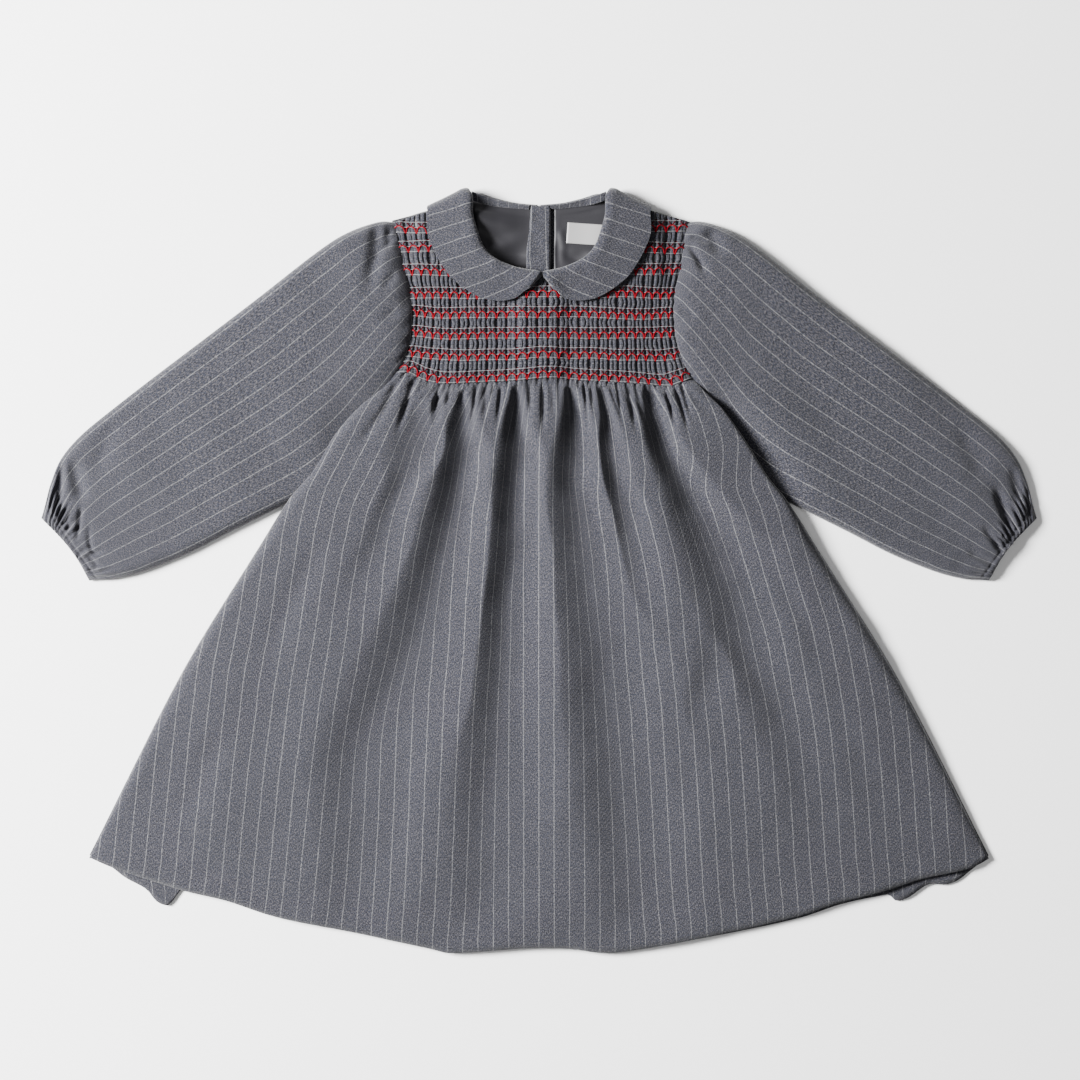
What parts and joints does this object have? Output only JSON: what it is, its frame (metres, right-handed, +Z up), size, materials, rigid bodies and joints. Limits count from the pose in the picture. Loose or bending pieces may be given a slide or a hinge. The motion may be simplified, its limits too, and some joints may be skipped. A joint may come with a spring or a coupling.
{
  "type": "toddler's smocked dress, long-sleeved, laid flat",
  "caption": "Long-sleeved toddler's dress in grey wool with a smocked front, round two-leaf collar, gathered cuffs and a full A-line skirt, lying flat with its front up.",
  "frame": {"origin": "centre of the bounding box on the surface that the dress lies on", "axes": "+Z up from the surface, +Y towards the collar, +X to the right of someone who looks down at the front with the collar up"},
  "size_m": [0.716, 0.5486, 0.0155],
  "materials": {
    "wool": "matte",
    "lining": "soft sheen",
    "label": "satin",
    "button": "satin",
    "thread_white": "matte",
    "thread_red": "matte"
  },
  "bodies": {
    "root": {"front_panel": "wool", "back_skirt": "wool", "back_yoke_left": "wool", "back_yoke_right": "wool", "back_lining_left": "lining", "back_lining_right": "lining", "neck_binding_left": "lining", "neck_binding_right": "lining", "sleeve_left": "wool", "sleeve_right": "wool", "collar_left": "wool", "collar_right": "wool", "button_stand": "wool", "neck_label": "label", "button_1": "button", "button_2": "button", "button_3": "button"}
  },
  "joints": []
}
